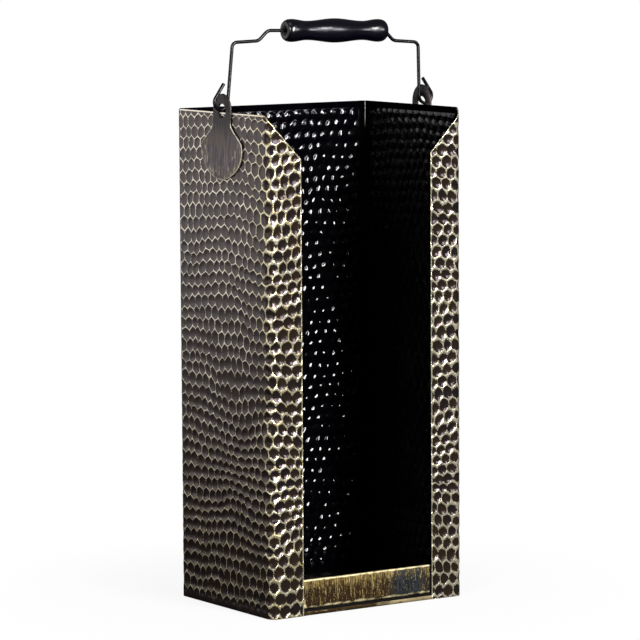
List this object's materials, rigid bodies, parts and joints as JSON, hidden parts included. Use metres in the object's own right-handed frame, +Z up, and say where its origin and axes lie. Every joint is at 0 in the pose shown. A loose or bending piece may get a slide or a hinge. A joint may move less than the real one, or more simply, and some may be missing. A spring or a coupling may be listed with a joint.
{
  "type": "briquette carrier",
  "caption": "Tall hammered-sheet fuel bin with an open front window, a low front lip and a swinging wire bail with a turned grip, for carrying and standing briquettes at a hearth.",
  "frame": {"origin": "centre of the bottom of the folded body, on the ground", "axes": "+Z up, -Y out of the open front window, X across the side walls with +X on the right as seen from the front"},
  "size_m": [0.222, 0.146, 0.5055],
  "materials": {
    "hammered_sheet": "hammered sheet with a dark antique patina, rubbed bright along the ridges",
    "floor_sheet": "smooth, aged",
    "lip_sheet": "brushed upright, aged",
    "ear_plate": "brushed, dark pewter tone with worn edges",
    "bail_wire": "semi-gloss black, worn in places",
    "grip_wood": "gloss black lacquer"
  },
  "bodies": {
    "carrier": {"body_shell": "hammered_sheet", "base_plate": "floor_sheet", "front_lip": "lip_sheet", "ear_left": "ear_plate", "ear_right": "ear_plate"},
    "bail": {"bail_wire": "bail_wire"},
    "grip": {"grip": "grip_wood"}
  },
  "joints": [
    {"name": "bail_swing", "type": "hinge", "parent": "carrier", "child": "bail", "pos_m": [0, -0.00775, 0.43], "axis": [0.9989, -0.0471, 0], "range_deg": [-90, 90]},
    {"name": "grip_spin", "type": "hinge", "parent": "bail", "child": "grip", "pos_m": [0.0035, -0.00791, 0.4948], "axis": [0.9986, -0.0471, -0.0227], "continuous": true}
  ]
}
